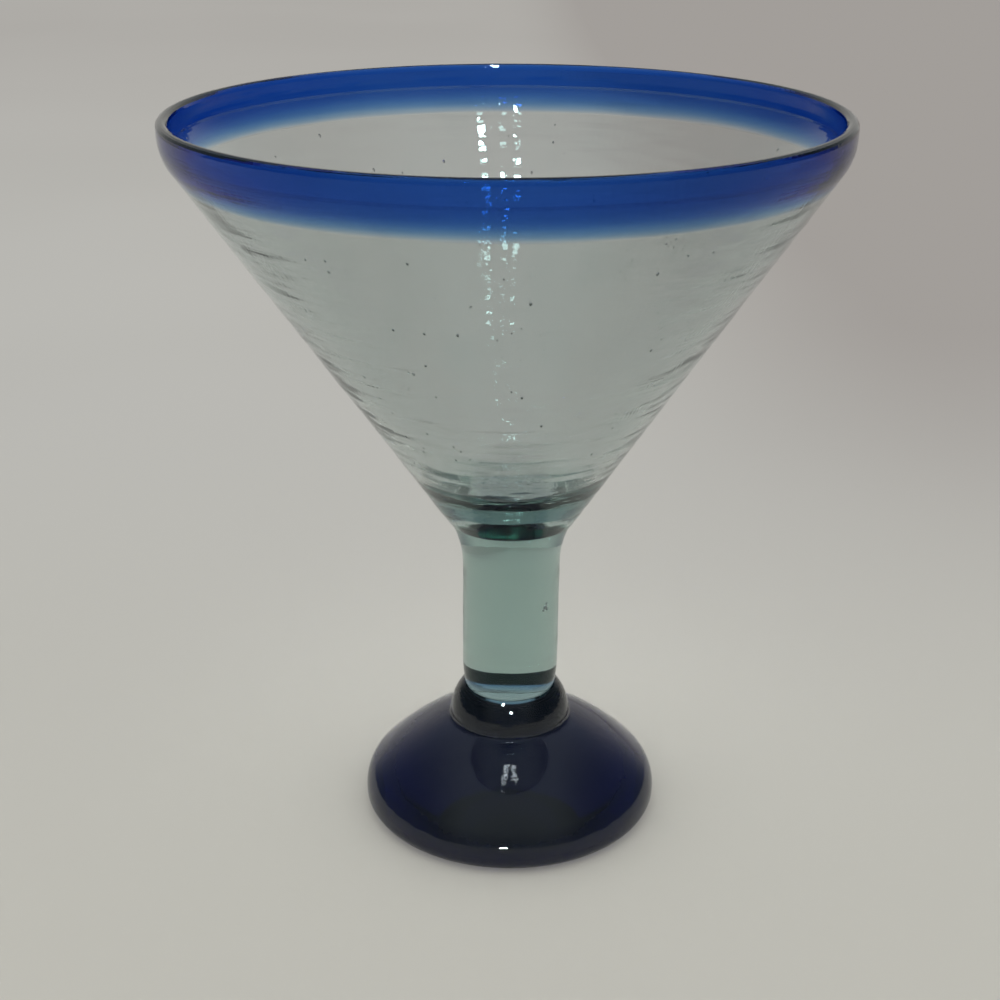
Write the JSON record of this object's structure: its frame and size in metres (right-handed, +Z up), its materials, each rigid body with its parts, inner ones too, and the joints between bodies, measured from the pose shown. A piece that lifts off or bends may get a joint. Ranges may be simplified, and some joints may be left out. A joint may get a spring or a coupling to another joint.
{
  "type": "margarita glass",
  "caption": "Stemmed cocktail glass with a wide conical bowl, a blue-banded rolled lip, a thick solid stem, a blue knop and a heavy domed blue foot.",
  "frame": {"origin": "centre of the foot's footprint, on the plane that the glass stands on", "axes": "+Z up the glass's axis of turning, from the foot to the rim; X and Y are free, because the glass is round"},
  "size_m": [0.144, 0.144, 0.165],
  "materials": {
    "cobalt_foot": "fire-polished cobalt glass, so thick that it looks almost black",
    "cobalt_knop": "fire-polished cobalt glass with a teal cast",
    "aqua_glass": "solid pale grey-green glass, fire-polished, with a few seeds",
    "clear_glass": "nearly clear glass with a faint grey-green tint, small seeds and soft tooling rings",
    "cobalt_rim": "fire-polished cobalt glass that fades into the clear wall"
  },
  "bodies": {
    "root": {"foot": "cobalt_foot", "knop": "cobalt_knop", "stem": "aqua_glass", "bowl": "clear_glass", "rim_band": "cobalt_rim"}
  },
  "joints": []
}
